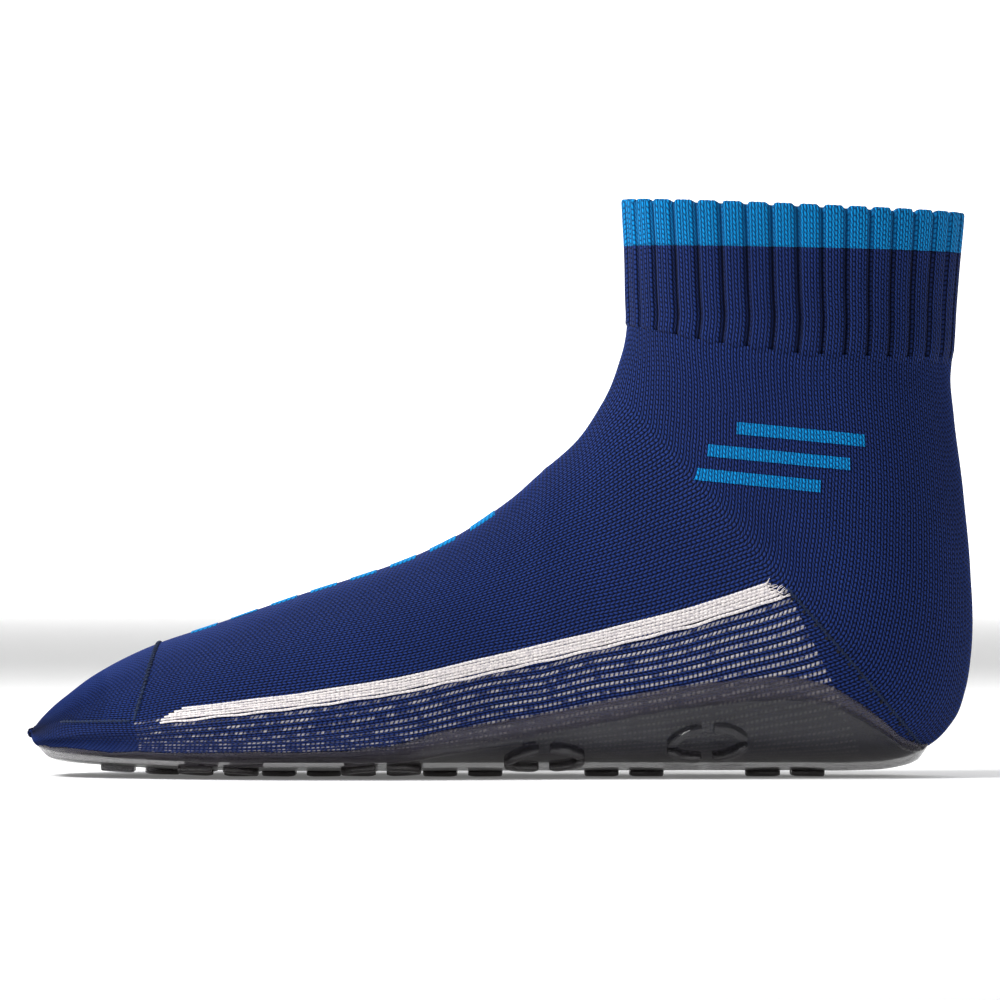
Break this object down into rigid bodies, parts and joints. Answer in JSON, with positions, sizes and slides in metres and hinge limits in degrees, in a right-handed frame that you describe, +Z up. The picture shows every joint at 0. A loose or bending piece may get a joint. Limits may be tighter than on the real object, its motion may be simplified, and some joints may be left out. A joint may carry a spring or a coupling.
{
  "type": "knitted water sock",
  "caption": "Ankle-high knitted water sock with a ribbed cuff, laid-in side stripes and a thin translucent moulded sole with raised oval tread rings.",
  "frame": {"origin": "on the ground under the middle of the foot, half way between toe and heel and between the two sides", "axes": "+X towards the heel, +Y towards the inner side of the foot, +Z up the leg; the tread stands on z = 0"},
  "size_m": [0.2511, 0.0939, 0.1535],
  "materials": {
    "navy_knit": "plain knitted nylon",
    "turquoise_knit": "plain knitted nylon",
    "flecked_knit": "navy knit plated with white yarn that shows as flecks",
    "white_yarn": "laid-in white yarn",
    "elastic": "covered elastic yarn",
    "smoky_rubber": "clear smoky moulded rubber, glossy"
  },
  "bodies": {
    "foot": {"ankle_flex_knit": "navy_knit", "arch_sole_knit": "flecked_knit", "ball_flex_sole_knit": "flecked_knit", "ball_flex_top_knit": "navy_knit", "heel_gore_inner": "navy_knit", "heel_gore_outer": "navy_knit", "heel_pocket_lower": "navy_knit", "heel_pocket_upper": "navy_knit", "instep_bar_3": "turquoise_knit", "instep_bar_4": "turquoise_knit", "instep_bar_5": "turquoise_knit", "instep_bar_6": "turquoise_knit", "instep_bar_7": "turquoise_knit", "instep_bar_8": "turquoise_knit", "instep_knit": "navy_knit", "side_stripe_inner": "white_yarn", "side_stripe_inner_ball": "white_yarn", "side_stripe_outer": "white_yarn", "side_stripe_outer_ball": "white_yarn", "sole_ball": "smoky_rubber", "sole_heel": "smoky_rubber"},
    "leg": {"leg_knit": "navy_knit", "cuff_rib": "navy_knit", "welt_band": "turquoise_knit", "ankle_bar_inner_1": "turquoise_knit", "ankle_bar_inner_2": "turquoise_knit", "ankle_bar_inner_3": "turquoise_knit", "ankle_bar_outer_1": "turquoise_knit", "ankle_bar_outer_2": "turquoise_knit", "ankle_bar_outer_3": "turquoise_knit", "cuff_elastic_1": "elastic", "cuff_elastic_2": "elastic", "cuff_elastic_3": "elastic", "cuff_elastic_4": "elastic"},
    "toes": {"toe_pocket_upper": "navy_knit", "toe_pocket_lower": "navy_knit", "forefoot_top_knit": "navy_knit", "forefoot_sole_knit": "flecked_knit", "toe_gore_outer": "navy_knit", "toe_gore_inner": "navy_knit", "toe_seam": "navy_knit", "sole_toe": "smoky_rubber", "side_stripe_outer_toe": "white_yarn", "side_stripe_inner_toe": "white_yarn", "instep_bar_1": "turquoise_knit", "instep_bar_2": "turquoise_knit"}
  },
  "joints": [
    {"name": "ankle_flex", "type": "hinge", "parent": "foot", "child": "leg", "pos_m": [0.076, 0, 0.0679], "axis": [0, 1, 0], "range_deg": [-12, 25], "stiffness_Nm_per_rad": 0.3, "deforming": ["ankle_flex_knit", "ankle_bar_outer_1", "ankle_bar_inner_1"]},
    {"name": "toe_flex", "type": "hinge", "parent": "foot", "child": "toes", "pos_m": [-0.048, 0, 0.0063], "axis": [0, 1, 0], "range_deg": [0, 30], "stiffness_Nm_per_rad": 0.4, "deforming": ["ball_flex_top_knit", "ball_flex_sole_knit", "side_stripe_outer_ball", "side_stripe_inner_ball", "sole_ball", "instep_bar_3", "instep_bar_4"]}
  ]
}
